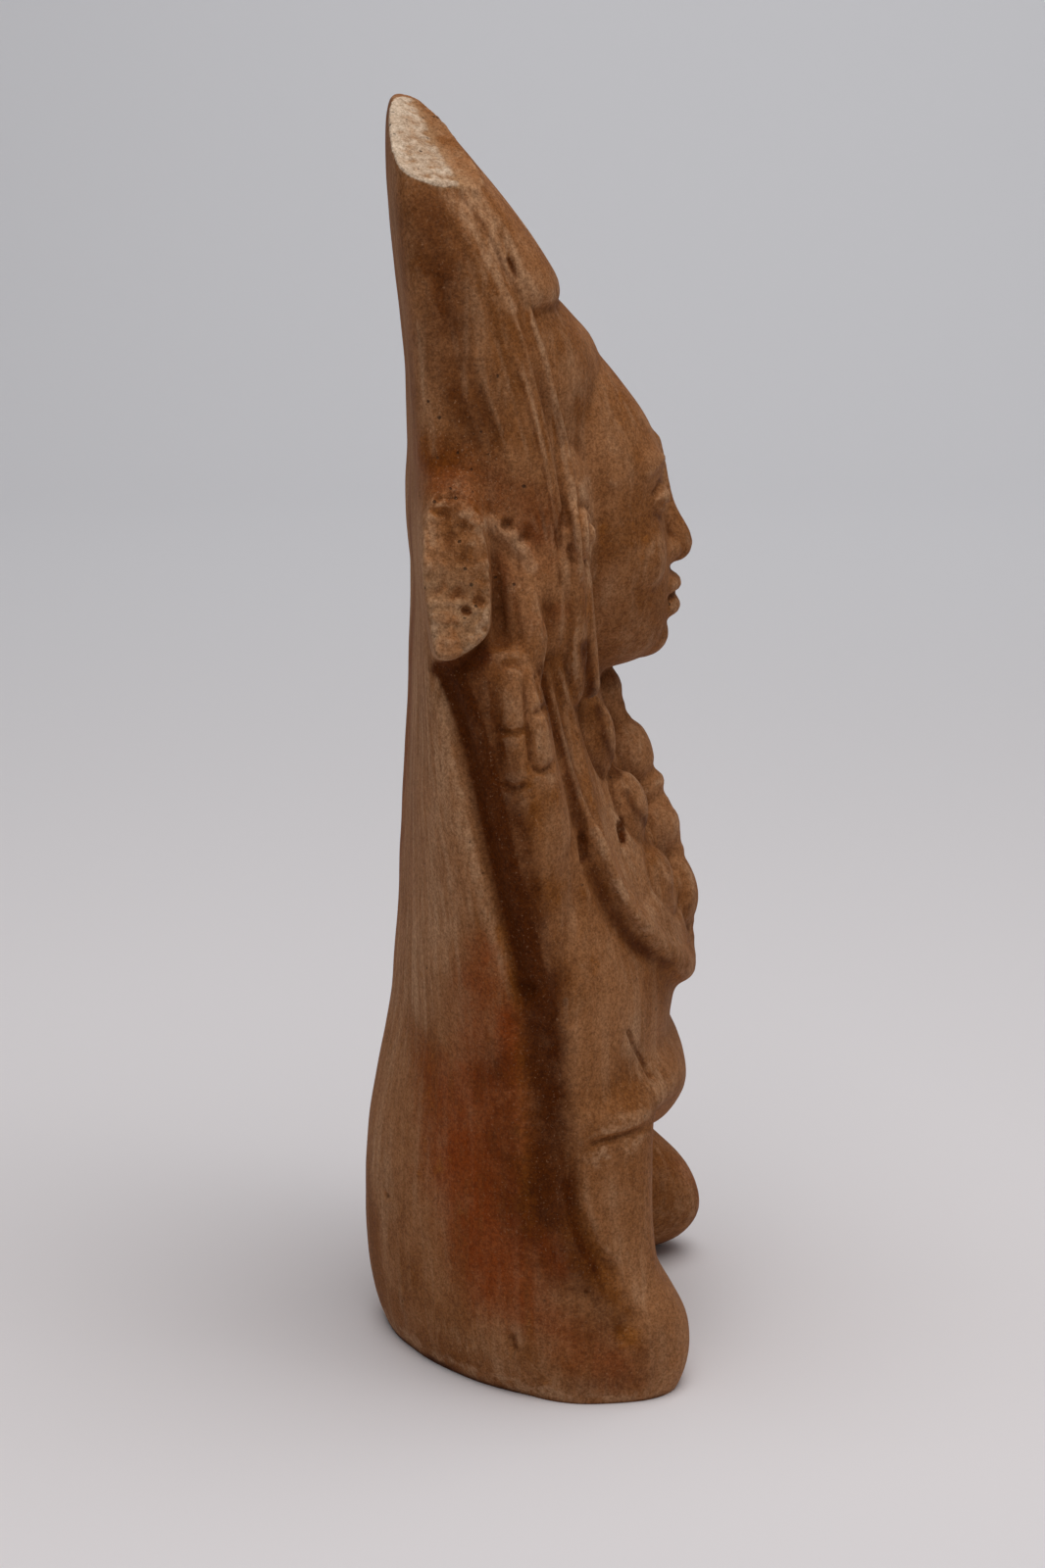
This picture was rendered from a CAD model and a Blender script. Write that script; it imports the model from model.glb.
import math

import bmesh
import bpy
import numpy as np
from mathutils import Matrix, Vector, noise


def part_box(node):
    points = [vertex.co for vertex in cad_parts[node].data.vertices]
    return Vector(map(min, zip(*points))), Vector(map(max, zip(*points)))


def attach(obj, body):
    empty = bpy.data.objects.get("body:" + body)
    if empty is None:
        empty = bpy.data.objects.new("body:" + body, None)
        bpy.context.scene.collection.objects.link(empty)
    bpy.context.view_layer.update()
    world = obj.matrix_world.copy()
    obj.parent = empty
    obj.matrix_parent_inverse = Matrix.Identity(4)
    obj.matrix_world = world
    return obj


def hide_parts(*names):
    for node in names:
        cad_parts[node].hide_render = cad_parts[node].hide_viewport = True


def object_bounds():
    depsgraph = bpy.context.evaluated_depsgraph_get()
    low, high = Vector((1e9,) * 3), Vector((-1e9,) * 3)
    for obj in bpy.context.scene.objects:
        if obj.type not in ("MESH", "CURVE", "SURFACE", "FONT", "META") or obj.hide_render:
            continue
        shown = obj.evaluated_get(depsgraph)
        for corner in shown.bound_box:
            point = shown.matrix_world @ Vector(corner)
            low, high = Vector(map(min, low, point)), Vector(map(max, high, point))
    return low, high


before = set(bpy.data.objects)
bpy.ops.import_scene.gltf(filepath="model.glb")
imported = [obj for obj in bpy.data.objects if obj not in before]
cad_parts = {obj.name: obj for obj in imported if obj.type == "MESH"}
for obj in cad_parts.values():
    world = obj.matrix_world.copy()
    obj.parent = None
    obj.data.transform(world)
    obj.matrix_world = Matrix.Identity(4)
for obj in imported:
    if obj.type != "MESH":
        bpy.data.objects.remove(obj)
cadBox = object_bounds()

print("frame loaded:", sorted(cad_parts))

# The rattle is drawn in millimetres of a figure 205 tall that faces -Y.
# Its right side, towards -X, is the side that shows.
low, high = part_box("figure_rattle")
drawnHeight = 205.0
mm = (high.z - low.z) / drawnHeight
bothSides = (-1, 1)


def smoothStep(x):
    x = np.clip(x, 0.0, 1.0)
    return x * x * (3 - 2 * x)


# Level sections of each lump of clay. A row is: height, half width, front, widest line, back,
# squareness of the front and of the back (2 is an ellipse, less a wedge, more a box).
shell = {
    "rows": [
        (-3.0, 39.5, -9.6, -6.0, 22.0, 3.0, 1.65),
        (0.0, 41.3, -10.2, -6.0, 23.4, 3.0, 1.65),
        (4.0, 43.4, -11.0, -6.0, 24.9, 3.0, 1.65),
        (10.0, 44.2, -11.5, -6.0, 26.0, 3.0, 1.65),
        (20.0, 44.4, -11.5, -5.0, 26.8, 3.0, 1.65),
        (30.0, 44.2, -11.5, -4.0, 26.7, 3.0, 1.7),
        (38.0, 44.0, -12.0, -3.0, 25.8, 2.6, 1.7),
        (46.0, 43.9, -12.0, -2.0, 24.2, 2.2, 1.75),
        (56.0, 43.6, -12.0, -0.5, 22.2, 2.0, 1.8),
        (66.0, 43.9, -10.0, 2.4, 21.3, 2.0, 1.9),
        (78.0, 43.9, -8.0, 5.6, 20.5, 2.0, 2.0),
        (90.0, 43.7, -4.0, 8.8, 19.7, 2.0, 2.2),
        (102.0, 43.0, -2.0, 11.2, 19.0, 2.0, 2.6),
        (112.0, 42.0, 0.0, 13.2, 18.5, 2.0, 3.0),
        (121.0, 40.6, 2.0, 15.0, 18.1, 2.0, 3.5),
        (128.0, 38.4, 2.0, 16.0, 17.8, 2.0, 4.0),
        (134.0, 35.0, 2.0, 16.0, 17.6, 2.0, 4.0),
    ],
}
chest = {
    "rows": [
        (28.0, 40.0, -12.0, -4.0, -1.0, 2.4, 3.0),
        (36.0, 42.0, -16.0, -4.0, 0.0, 2.2, 3.0),
        (46.0, 43.4, -22.0, -5.0, 0.6, 1.95, 3.0),
        (56.0, 43.9, -24.8, -4.6, 1.2, 1.75, 4.0),
        (66.0, 44.2, -26.2, -3.8, 2.4, 1.65, 5.0),
        (78.0, 44.3, -23.6, -2.6, 5.0, 1.5, 7.0),
        (90.0, 44.1, -18.0, -0.8, 8.2, 1.45, 8.0),
        (102.0, 43.4, -13.4, 2.5, 10.6, 1.42, 8.0),
        (112.0, 42.6, -11.2, 6.0, 12.8, 1.42, 8.0),
        (119.0, 41.6, -10.0, 9.0, 14.6, 1.5, 8.0),
        (126.0, 38.0, -6.0, 11.0, 15.8, 1.8, 6.0),
    ],
}
arm = {
    "out": 38.0,  # how far each arm's middle stands from the middle of the figure
    "rows": [
        (55.0, 4.6, -3.4, -1.5, 0.2, 2.2, 2.2),
        (61.0, 6.2, -3.4, -1.2, 1.4, 2.4, 2.4),
        (70.0, 7.4, -3.0, -0.4, 3.0, 2.6, 2.6),
        (80.0, 7.8, -3.2, 1.0, 5.4, 2.6, 2.8),
        (87.0, 7.8, -4.2, 2.0, 7.2, 2.6, 2.8),
        (93.0, 7.8, -5.4, 2.8, 8.6, 2.6, 2.8),
        (102.0, 7.6, -3.6, 4.4, 10.4, 2.6, 2.8),
        (112.0, 7.2, -1.8, 6.2, 12.6, 2.6, 2.8),
        (118.0, 6.4, 0.2, 8.0, 14.2, 2.6, 2.8),
        (122.4, 4.0, 2.4, 9.6, 15.0, 2.4, 2.6),
    ],
}
hipCloth = {
    "rows": [
        (33.2, 38.0, -19.4, -4.0, 2.0, 2.2, 2.0),
        (34.9, 42.6, -22.8, -4.0, 2.0, 2.2, 2.0),
        (38.4, 44.1, -25.6, -4.0, 2.0, 2.15, 2.0),
        (42.0, 44.4, -27.0, -4.0, 2.0, 2.1, 2.0),
        (45.5, 44.3, -27.3, -4.0, 2.0, 2.05, 2.0),
        (49.0, 43.9, -26.6, -4.0, 2.0, 2.0, 2.0),
        (52.5, 43.2, -25.0, -3.0, 2.0, 1.9, 2.0),
        (57.0, 42.0, -21.0, -2.0, 2.0, 1.9, 2.0),
    ],
    "rise": 10.4,  # how much the hem rises over the legs
    "riseTop": 50.0,
    "riseWidth": 30.0,
}
nearLeg = {
    "centre": -30.2,
    "rows": [
        (-3.0, 11.5, -21.0, -8.0, 4.0, 2.8, 2.0),
        (0.0, 13.4, -23.6, -8.0, 4.0, 2.8, 2.0),
        (5.0, 14.2, -25.2, -8.0, 4.0, 2.8, 2.0),
        (10.0, 14.2, -25.0, -8.0, 4.0, 2.7, 2.0),
        (14.5, 14.0, -22.8, -8.0, 4.0, 2.7, 2.0),
        (19.5, 13.7, -20.2, -7.0, 4.0, 2.7, 2.0),
        (26.0, 13.6, -19.3, -6.0, 4.0, 2.7, 2.0),
        (36.0, 13.5, -19.2, -6.0, 4.0, 2.7, 2.0),
        (48.0, 13.4, -19.2, -6.0, 4.0, 2.7, 2.0),
    ],
}
farLeg = {
    "centre": 31.2,
    "splay": 4.6,  # the sole stands further out than the leg above it
    "splayTop": 11.0,
    "rows": [
        (-2.0, 3.0, -24.0, -14.0, 0.0, 2.0, 2.0),
        (0.0, 6.0, -27.4, -13.0, 2.0, 2.0, 2.0),
        (3.0, 9.8, -31.2, -12.0, 4.0, 2.0, 2.0),
        (8.0, 12.6, -33.8, -12.0, 4.0, 2.1, 2.0),
        (13.5, 13.4, -33.0, -12.0, 4.0, 2.2, 2.0),
        (18.0, 13.2, -30.2, -10.0, 4.0, 2.3, 2.0),
        (22.0, 13.0, -26.0, -8.0, 4.0, 2.4, 2.0),
        (26.0, 13.0, -22.0, -7.0, 4.0, 2.5, 2.0),
        (32.0, 13.2, -19.6, -6.0, 4.0, 2.6, 2.0),
        (48.0, 13.2, -19.2, -6.0, 4.0, 2.6, 2.0),
    ],
}
headSlab = {
    "rows": [
        (117.5, 29.0, -4.6, 6.0, 17.0, 3.0, 5.0),
        (120.0, 34.0, -7.0, 6.0, 17.9, 4.0, 6.0),
        (124.0, 35.0, -7.8, 6.0, 17.9, 4.5, 7.0),
        (130.0, 35.0, -7.8, 6.0, 17.8, 4.5, 7.0),
        (138.0, 34.8, -7.3, 6.0, 18.0, 4.5, 7.0),
        (146.0, 34.6, -6.4, 6.0, 18.2, 4.5, 7.0),
        (154.0, 34.4, -5.0, 6.5, 18.4, 4.5, 7.0),
        (161.0, 34.2, -3.4, 7.5, 18.8, 4.5, 7.0),
        (168.0, 33.9, -2.0, 8.0, 19.4, 5.5, 7.0),
        (175.0, 33.4, 0.4, 10.0, 20.1, 5.5, 7.0),
        (180.0, 32.6, 3.3, 11.5, 20.6, 5.5, 7.0),
        (186.0, 31.4, 7.3, 14.0, 21.2, 5.5, 6.0),
        (192.0, 29.6, 11.2, 16.4, 21.7, 5.0, 5.0),
        (198.0, 27.2, 14.2, 18.4, 21.9, 4.5, 4.5),
        (202.0, 24.8, 16.8, 19.6, 21.8, 4.0, 4.0),
        (205.8, 21.5, 17.2, 19.2, 21.2, 3.0, 3.0),
    ],
}
headdress = {
    "pleats": 5,
    "pleatHeight": 0.8,
    "rows": [
        (173.4, 28.0, -2.6, 8.0, 15.0, 5.0, 4.0),
        (174.3, 30.4, -4.7, 8.0, 15.0, 5.0, 4.0),
        (177.0, 31.2, -4.8, 9.0, 16.0, 5.0, 4.0),
        (180.2, 31.0, -3.2, 10.5, 17.5, 5.0, 4.0),
        (186.5, 29.8, 1.1, 13.0, 19.0, 5.0, 4.0),
        (193.0, 27.8, 6.2, 15.5, 20.0, 4.5, 4.0),
        (199.0, 25.2, 11.1, 17.0, 20.6, 4.0, 4.0),
        (202.6, 22.6, 14.0, 18.0, 20.8, 3.5, 4.0),
        (205.4, 18.6, 16.8, 19.0, 20.6, 3.0, 3.0),
    ],
}
forehead = {
    "rows": [
        (140.0, 27.0, -10.0, 0.0, 8.0, 2.0, 3.0),
        (148.0, 28.0, -11.0, 0.0, 8.0, 2.0, 3.0),
        (156.0, 29.4, -12.2, 0.0, 8.0, 2.0, 3.0),
        (162.4, 30.4, -12.8, 0.5, 8.0, 2.0, 3.0),
        (167.5, 30.8, -11.0, 2.0, 9.0, 2.1, 3.0),
        (170.7, 31.2, -8.1, 3.4, 10.0, 2.3, 3.0),
        (174.0, 31.2, -5.0, 5.0, 12.0, 2.6, 3.0),
        (176.0, 30.0, -2.2, 6.0, 12.0, 3.0, 3.0),
    ],
}
flange = {
    "rows": [
        (120.4, 36.0, 14.4, 15.4, 16.2, 4.0, 5.0),
        (121.2, 46.0, 13.4, 15.2, 16.6, 4.0, 5.0),
        (123.0, 48.6, 10.4, 13.8, 17.0, 5.0, 5.0),
        (124.6, 48.6, 7.2, 13.0, 17.4, 5.0, 5.0),
        (128.0, 48.6, 6.8, 13.0, 17.9, 5.0, 5.0),
        (135.0, 48.0, 6.6, 13.0, 18.5, 4.0, 5.0),
        (139.0, 46.0, 6.2, 13.0, 18.5, 3.0, 5.0),
        (143.0, 41.6, 5.4, 13.0, 18.4, 2.6, 5.0),
        (149.0, 36.0, 4.4, 12.0, 18.2, 2.4, 4.0),
    ],
}
bib = {
    "thickness": 1.9,
    "halfWidth": 36.5,
    "fullness": 0.85,
    "top": 121.0,
    "shoulder": 101.0,  # below this the outline curves in
    "bottom": 61.6,
    "rimTop": 1.9,  # radius of the raised rim at the shoulders
    "rimBottom": 3.3,
    "cutFrom": -60.0,  # the outline is cut through the chest from here
    "cutDepth": 62.0,
}
beads = {
    "height": 4.6,
    "tilt": 18.0,  # the chest leans back by this many degrees
    "ridgeRadius": 4.6,
    "grooves": (0.5, 0.25),  # how deep round the pairs, and round those in the middle
    # x, z, half width, half length, lean and how deep each pair is sunk, from the top down
    "pairs": [
        (17.0, 105.0, 5.0, 7.6, 8.0, 1.9),
        (12.8, 91.8, 5.8, 6.4, -12.0, 2.0),
        (12.0, 79.4, 6.6, 5.6, -30.0, 3.6),
    ],
    # z, how far forward, half width and half length of those in the middle
    "middle": [
        (108.6, -16.7, 5.4, 4.6),
        (98.2, -21.9, 6.8, 6.6),
        (92.2, -24.1, 5.2, 3.2),
        (86.0, -26.5, 6.6, 5.4),
        (75.2, -29.3, 7.2, 7.2),
    ],
    # the ridge under them: how far forward it comes at each height
    "ridge": [(114.0, -14.2), (109.0, -16.0), (102.5, -18.7), (95.8, -22.0), (89.0, -25.0), (82.0, -27.3),
              (75.6, -28.6), (68.8, -29.1), (64.5, -29.0)],
}
lappet = {
    # locks of hair that fall in front of the shoulders. A stop is out, y, z and radius
    "inner": [
        (25.4, -7.4, 131.0, 2.3), (25.0, -7.6, 124.0, 2.6),
        (24.2, -8.2, 118.0, 2.6), (23.4, -8.9, 113.4, 2.2),
    ],
    "outer": [
        (29.6, -4.6, 134.0, 3.6), (29.2, -4.8, 127.0, 3.8),
        (28.2, -5.2, 120.0, 3.6), (26.8, -5.8, 113.0, 2.6),
    ],
    "fold": [
        (33.4, 3.6, 134.0, 2.4), (34.6, 2.2, 129.0, 3.4),
        (36.0, 1.2, 124.0, 3.2), (37.0, 1.2, 119.0, 2.6),
    ],
    # the hair behind them, in balls: the middle of each and its radii
    "mass": [((23.0, -2.4, 138.0), (8.0, 7.4, 17.0)), ((20.0, -3.0, 119.0), (8.0, 8.0, 8.0))],
}
spool = {
    "out": 27.4,
    "front": -6.4,
    "height": 138.4,
    "radius": 5.6,
    "bulge": 3.0,
    "boss": (2.4, 1.5, 2.4),
}

# The face is a calm one on the usual thirds: hairline to brow, to the foot of the nose, to chin.
face = {
    "hairline": 163.5,
    "chin": 114.0,
    "eyeApart": 8.9,
    "eyeHalfWidth": 4.9,
    "rows": [
        (113.0, 7.0, -15.5, -4.0, 8.0, 2.2, 2.0),
        (114.6, 10.5, -19.8, -4.0, 8.0, 2.3, 2.0),
        (117.0, 13.8, -22.6, -4.0, 8.0, 2.3, 2.0),
        (121.0, 16.6, -23.8, -4.0, 8.0, 2.3, 2.0),
        (127.0, 19.2, -24.2, -4.0, 8.0, 2.3, 2.0),
        (134.0, 21.2, -23.6, -3.0, 8.0, 2.4, 2.0),
        (141.0, 22.2, -22.4, -3.0, 8.0, 2.5, 2.0),
        (147.5, 22.4, -22.6, -2.0, 8.0, 2.5, 2.0),
        (153.0, 22.2, -20.8, -1.0, 8.0, 2.4, 2.0),
        (159.0, 21.8, -17.0, 0.0, 9.0, 2.3, 2.0),
        (165.0, 21.2, -12.0, 1.0, 10.0, 2.2, 2.0),
        (172.0, 20.0, -5.0, 4.0, 12.0, 2.0, 2.0),
    ],
}
third = (face["hairline"] - face["chin"]) / 3
brow = face["hairline"] - third
noseFoot = brow - third
mouth = noseFoot - third / 3
eyeLevel = brow - 0.32 * third

# What is missing: a corner of the headdress and the end of one flange. Each is a plane that
# keeps the side its normal points away from.
breaks = {
    "corner": {
        "point": (-27.0, 21.5, 196.0),
        "turn": (15.0, -22.8, 0.0),
        "region": ((-40.0, -10.0, 182.0), (30.0, 30.0, 210.0)),
        "fresh": 0.95,  # how pale and clean the broken face is
        # how much of that it loses to old dirt, from one point to another in y and z
        "soil": {"from": (13.4, 191.8), "to": (10.2, 193.4), "most": 0.5},
        "rough": 0.6,  # how far the unevenness below is taken on the broken face
    },
    "flange": {
        "point": (-43.2, 12.5, 132.0),
        "turn": (0.0, -73.0, 5.0),
        "region": ((-60.0, 4.0, 119.0), (-38.0, 20.0, 146.0)),
        "fresh": 0.58,
        "soil": {"from": (12.5, 127.0), "to": (12.5, 144.0), "most": 0.3},
        "rough": 1.7,
    },
}


def rowAt(rows, z):
    # the section at one height, on a smooth curve through the rows
    last = len(rows) - 1
    z = min(max(z, rows[0][0]), rows[last][0])
    i = next(k for k in range(last) if z <= rows[k + 1][0])
    span = rows[i + 1][0] - rows[i][0]
    t = (z - rows[i][0]) / span

    def slope(k, column):
        before, after = rows[max(k - 1, 0)], rows[min(k + 1, last)]
        return (after[column] - before[column]) / (after[0] - before[0]) * span

    found = [z]
    for column in range(1, 7):
        a, b = rows[i][column], rows[i + 1][column]
        found.append(
            (2 * t**3 - 3 * t**2 + 1) * a + (3 * t**2 - 2 * t**3) * b
            + (t**3 - 2 * t**2 + t) * slope(i, column) + (t**3 - t**2) * slope(i + 1, column)
        )
    return found


def frontOf(rows, x, z, proud=0.0):
    # how far forward a lump comes at x and z
    _, half, front, wide, _, square, _ = rowAt(rows, z)
    share = min(abs(x) / (half + proud), 1.0)
    return wide - (wide - front + proud) * (1 - share**square) ** (1 / square)


def loft(clay, rows, step=2.0, points=64, proud=0.0, place=lambda x, y, z: (x, y, z)):
    # a closed lump through level sections: a circle at each level, bent to it and bridged
    lump = bmesh.new()
    bottom, top = rows[0][0], rows[-1][0]
    levels = max(2, round((top - bottom) / step))
    below = None
    for level in range(levels + 1):
        z = bottom + (top - bottom) * level / levels
        _, half, front, wide, back, frontSquare, backSquare = rowAt(rows, z)
        ring = bmesh.ops.create_circle(
            lump, segments=points, radius=1.0, cap_ends=level in (0, levels)
        )["verts"]
        edges = list({edge for vert in ring for edge in vert.link_edges})
        for vert in ring:
            across, along = vert.co.x, vert.co.y
            behind = along > 0
            power = 2 / (backSquare if behind else frontSquare)
            depth = back - wide if behind else wide - front + proud
            x = math.copysign(abs(across) ** power, across) * (half + proud)
            y = wide + math.copysign(abs(along) ** power, along) * depth
            vert.co = place(x, y, z)
        if below:
            bmesh.ops.bridge_loops(lump, edges=below + edges)
        below = edges
    addTo(clay, lump)


def addTo(clay, lump):
    bmesh.ops.recalc_face_normals(lump, faces=lump.faces)
    mesh = bpy.data.meshes.new("lump")
    lump.to_mesh(mesh)
    lump.free()
    clay.from_mesh(mesh)
    bpy.data.meshes.remove(mesh)


def turned(turn):
    # degrees about X, then Y, then Z
    tilt = Matrix.Identity(4)
    for degrees, axis in zip(turn, "XYZ"):
        tilt = Matrix.Rotation(math.radians(degrees), 4, axis) @ tilt
    return tilt


def ball(clay, centre, radii, turn=(0.0, 0.0, 0.0)):
    place = Matrix.Translation(centre) @ turned(turn) @ Matrix.Diagonal((*radii, 1.0))
    bmesh.ops.create_uvsphere(clay, u_segments=32, v_segments=20, radius=1.0, matrix=place)


def smoothRoute(route, steps=8):
    # points on a curve through every stop of a route
    stops = [np.array(stop, float) for stop in route]
    stops = [2 * stops[0] - stops[1], *stops, 2 * stops[-1] - stops[-2]]
    points = []
    for a, b, c, d in zip(stops, stops[1:], stops[2:], stops[3:]):
        for i in range(steps):
            t = i / steps
            points.append(0.5 * (2 * b + (c - a) * t + (2 * a - 5 * b + 4 * c - d) * t**2
                                 + (3 * b - a - 3 * c + d) * t**3))
    return points + [stops[-2]]


def rod(clay, route, steps=6):
    # overlapping balls along a curve. A stop is x, y, z and radius
    lump = bmesh.new()
    for x, y, z, radius in smoothRoute(route, steps):
        place = Matrix.Translation((x, y, z))
        bmesh.ops.create_icosphere(lump, subdivisions=2, radius=radius, matrix=place)
    addTo(clay, lump)


def meshOf(obj):
    bpy.context.view_layer.update()
    graph = bpy.context.evaluated_depsgraph_get()
    return bpy.data.meshes.new_from_object(obj.evaluated_get(graph))


def objectOf(form, name):
    mesh = bpy.data.meshes.new(name)
    form.to_mesh(mesh)
    form.free()
    obj = bpy.data.objects.new(name, mesh)
    bpy.context.scene.collection.objects.link(obj)
    return obj


def commonPart(clay, first, second):
    kept, cutter = objectOf(first, "kept"), objectOf(second, "cutter")
    common = kept.modifiers.new("common", "BOOLEAN")
    common.operation = "INTERSECT"
    common.object = cutter
    mesh = meshOf(kept)
    clay.from_mesh(mesh)
    for obj in (kept, cutter):
        bpy.data.objects.remove(obj)
    bpy.data.meshes.remove(mesh)


def breakPlane(name):
    spot = breaks[name]
    return Vector(spot["point"]), turned(spot["turn"]) @ Vector((0.0, 0.0, 1.0))


def brokenShare(points, name):
    # 1 on a broken face, down to 0 a little way off it
    point, normal = breakPlane(name)
    off = np.abs((points - np.array(point)) @ np.array(normal))
    first, last = np.array(breaks[name]["region"])
    inside = np.all((points > first) & (points < last), axis=1)
    return inside * (1 - smoothStep((off - 0.2) / 0.9))


def cutAway(form, point, normal, near=lambda co: True):
    # cuts what lies near along a plane, takes the outer side away and closes the cut
    verts = [vert for vert in form.verts if near(vert.co)]
    edges = {edge for vert in verts for edge in vert.link_edges}
    faces = {polygon for vert in verts for polygon in vert.link_faces}
    bmesh.ops.bisect_plane(
        form, geom=verts + list(edges) + list(faces), dist=1e-6, plane_co=point, plane_no=normal,
        clear_outer=True,
    )
    rim = [edge for edge in form.edges if edge.is_boundary]
    bmesh.ops.holes_fill(form, edges=rim)


def makeBody(clay):
    loft(clay, shell["rows"])
    loft(clay, chest["rows"])

    def hung(x, y, z):
        share = max(0.0, (hipCloth["riseTop"] - z) / (hipCloth["riseTop"] - hipCloth["rows"][0][0]))
        swing = (1 - math.cos(math.pi * min(abs(x) / hipCloth["riseWidth"], 1.0))) / 2
        return x, y, z + hipCloth["rise"] * share * swing

    loft(clay, hipCloth["rows"], step=1.2, place=hung)
    centre = nearLeg["centre"]
    loft(clay, nearLeg["rows"], step=1.5, points=48, place=lambda x, y, z: (x + centre, y, z))

    def splayed(x, y, z):
        out = farLeg["splay"] * max(0.0, 1 - z / farLeg["splayTop"]) ** 2
        return x + farLeg["centre"] + out, y, z

    loft(clay, farLeg["rows"], step=1.5, points=48, place=splayed)
    for side in bothSides:
        out = side * arm["out"]
        loft(clay, arm["rows"], step=1.5, points=48, place=lambda x, y, z: (x + out, y, z))


def bibEdge(turn, inset=0.0):
    # a point of the bib's outline: turn 0 to 180 degrees runs round below the shoulders
    half = bib["halfWidth"] - inset
    across, down = math.cos(math.radians(turn)), math.sin(math.radians(turn))
    if down < 0:
        return math.copysign(half + 6 * down, across), bib["shoulder"] - 40 * down
    x = math.copysign(half * abs(across) ** bib["fullness"], across)
    return x, bib["shoulder"] - (bib["shoulder"] - bib["bottom"] - inset) * down ** bib["fullness"]


def makeBib(clay):
    # the chest's own surface raised, kept only inside the bib's outline, and a rolled rim
    raised, cutter = bmesh.new(), bmesh.new()
    loft(raised, chest["rows"], proud=bib["thickness"])
    disc = bmesh.ops.create_circle(cutter, segments=72, radius=1.0, cap_ends=True)["verts"]
    for vert in disc:
        turn = math.degrees(math.atan2(-vert.co.y, vert.co.x))
        if turn < 0:
            z = bib["shoulder"] + (bib["top"] - bib["shoulder"]) * min(1.0, vert.co.y * 3.0)
            x = math.copysign(bib["halfWidth"], vert.co.x) if abs(vert.co.x) > 0.3 else vert.co.x * 30
        else:
            x, z = bibEdge(turn)
        vert.co = (x, bib["cutFrom"], z)
    moved = bmesh.ops.extrude_face_region(cutter, geom=cutter.faces[:])["geom"]
    ends = [item for item in moved if isinstance(item, bmesh.types.BMVert)]
    bmesh.ops.translate(cutter, vec=(0.0, bib["cutDepth"], 0.0), verts=ends)
    bmesh.ops.recalc_face_normals(cutter, faces=cutter.faces)
    commonPart(clay, raised, cutter)
    rim = []
    for turn in range(-24, 205, 6):
        x, z = bibEdge(turn, inset=bib["rimTop"] * 0.8)
        sag = max(0.0, math.sin(math.radians(turn)))
        radius = bib["rimTop"] + (bib["rimBottom"] - bib["rimTop"]) * sag**3
        sunk = radius - 0.9 - 0.5 * sag**3
        rim.append((x, frontOf(chest["rows"], x, z, bib["thickness"]) + sunk, z, radius))
    rod(clay, rim, steps=4)


def makeHead(clay):
    loft(clay, headSlab["rows"])
    loft(clay, flange["rows"], step=1.5)
    loft(clay, face["rows"], step=1.5)
    for side in bothSides:
        for lock in ("outer", "fold"):
            rod(clay, [(side * x, y, z, radius) for x, y, z, radius in lappet[lock]])
        for (out, y, z), radii in lappet["mass"]:
            ball(clay, (side * out, y, z), radii)


def makeHeaddress(clay):
    loft(clay, headdress["rows"], step=1.0)
    loft(clay, forehead["rows"], step=1.0)
    for side in bothSides:
        rod(clay, [(side * x, y, z, radius) for x, y, z, radius in lappet["inner"]])


def makeBeads(clay):
    # three pairs of large beads and a row down the middle, each partly sunk in the bib
    height = beads["height"]
    for x, z, halfWidth, halfLength, lean, sunk in beads["pairs"]:
        y = frontOf(chest["rows"], x, z, bib["thickness"])
        turn = math.degrees(math.atan2(x, frontOf(chest["rows"], 0.0, z) + 44.0))
        for side in bothSides:
            size = (halfWidth, height, halfLength)
            ball(clay, (side * x, y + sunk, z), size, (-beads["tilt"], side * lean, side * turn))
    for z, y, halfWidth, halfLength in beads["middle"]:
        ball(clay, (0.0, y + height, z), (halfWidth, height, halfLength), (-beads["tilt"], 0.0, 0.0))
    radius = beads["ridgeRadius"]
    rod(clay, [(0.0, y + radius, z, radius) for z, y in beads["ridge"]], steps=4)


def makeSpools(clay):
    # worn round ear spools, each with a boss in its middle
    for side in bothSides:
        middle = (side * spool["out"], spool["front"], spool["height"])
        ball(clay, middle, (spool["radius"], spool["bulge"], spool["radius"]))
        front = spool["front"] - spool["bulge"]
        ball(clay, (middle[0], front + 0.8, middle[2]), spool["boss"])


def makeFace(clay):
    rows = face["rows"]
    bridge = frontOf(rows, 0.0, brow)
    foot = frontOf(rows, 0.0, noseFoot)
    lip = frontOf(rows, 0.0, mouth)
    chin = frontOf(rows, 0.0, face["chin"] + 5.0)
    rod(clay, [
        (0.0, bridge + 2.4, brow + 2.4, 2.8),
        (0.0, bridge + 0.2, brow - 0.45 * third, 2.6),
        (0.0, foot - 0.6, noseFoot + 3.4, 3.4),
        (0.0, foot - 0.7, noseFoot + 2.6, 3.3),
    ])
    ball(clay, (0.0, lip + 0.9, mouth + 1.8), (6.4, 3.0, 2.0))
    ball(clay, (0.0, lip + 1.0, mouth - 2.0), (5.4, 3.0, 2.1))
    ball(clay, (0.0, chin + 4.2, face["chin"] + 4.4), (6.5, 5.0, 4.2))
    for side in bothSides:
        ball(clay, (side * 3.6, foot + 0.9, noseFoot + 2.0), (2.4, 2.8, 2.1))
        cheek = frontOf(rows, 10.0, noseFoot + 2.0)
        ball(clay, (side * 10.0, cheek + 5.4, noseFoot + 2.0), (7.0, 5.8, 8.0))
        middle = frontOf(rows, face["eyeApart"], eyeLevel)
        lid = (face["eyeHalfWidth"], 3.3, 2.7)
        ball(clay, (side * face["eyeApart"], middle + 1.6, eyeLevel), lid, (0.0, side * 4.0, side * 12.0))
        arch = []
        for share, rise, sunk in ((0.3, -1.2, 2.5), (0.9, 0.6, 2.0), (1.5, 0.6, 2.1), (2.1, -1.8, 3.4)):
            x, z = face["eyeApart"] * share, brow + 0.4 + rise
            arch.append((side * x, frontOf(rows, x, z) + sunk, z, 2.4))
        rod(clay, arch)


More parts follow.
